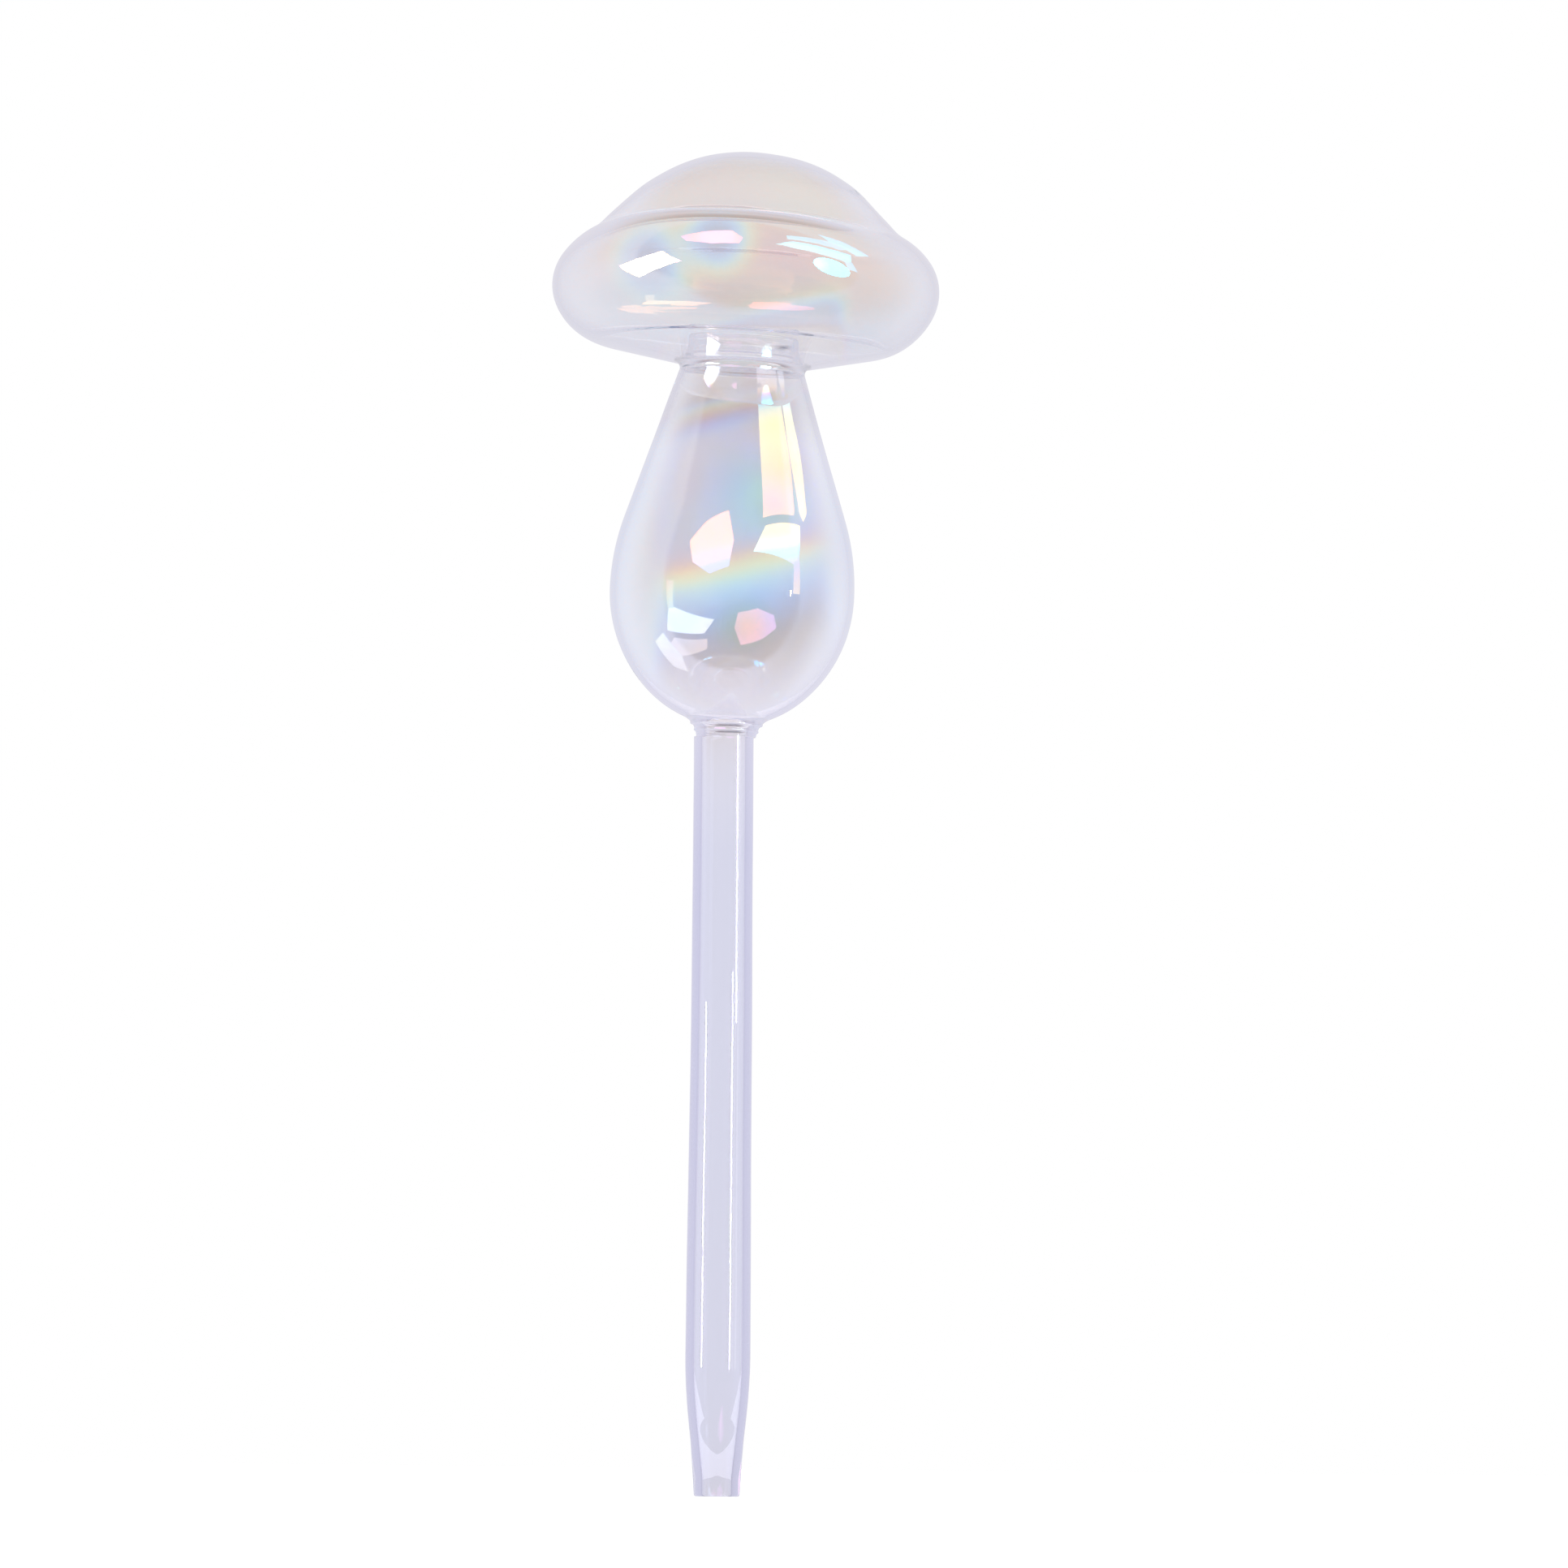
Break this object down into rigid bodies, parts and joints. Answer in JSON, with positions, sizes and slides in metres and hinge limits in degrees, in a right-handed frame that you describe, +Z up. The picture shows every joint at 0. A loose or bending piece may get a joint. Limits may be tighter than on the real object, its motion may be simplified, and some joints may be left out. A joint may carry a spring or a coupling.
{
  "type": "watering globe",
  "caption": "Hollow glass mushroom on a long tube that is pushed into potting soil: the cap and bulb hold water and release it slowly through the tube's narrow mouth.",
  "frame": {"origin": "centre of the tube's mouth, at the lower end", "axes": "+Z up the tube, +X the way the body leans, -Y the front"},
  "size_m": [0.0721, 0.0722, 0.2501],
  "materials": {
    "stem_glass": "clear glass with a faint pearl coat, cool grey-lilac",
    "stem_seal_glass": "clear glass weld, slightly rippled",
    "bulb_glass": "clear glass with an iridescent pearl coat that turns blue, violet and amber",
    "neck_seal_glass": "clear glass weld, smooth fillet",
    "cap_glass": "clear glass with an iridescent pearl coat, lilac below and faint pink above"
  },
  "bodies": {
    "root": {"stem_tube": "stem_glass", "stem_seal_ring": "stem_seal_glass", "bulb_shell": "bulb_glass", "neck_seal_ring": "neck_seal_glass", "cap_shell": "cap_glass"}
  },
  "joints": []
}
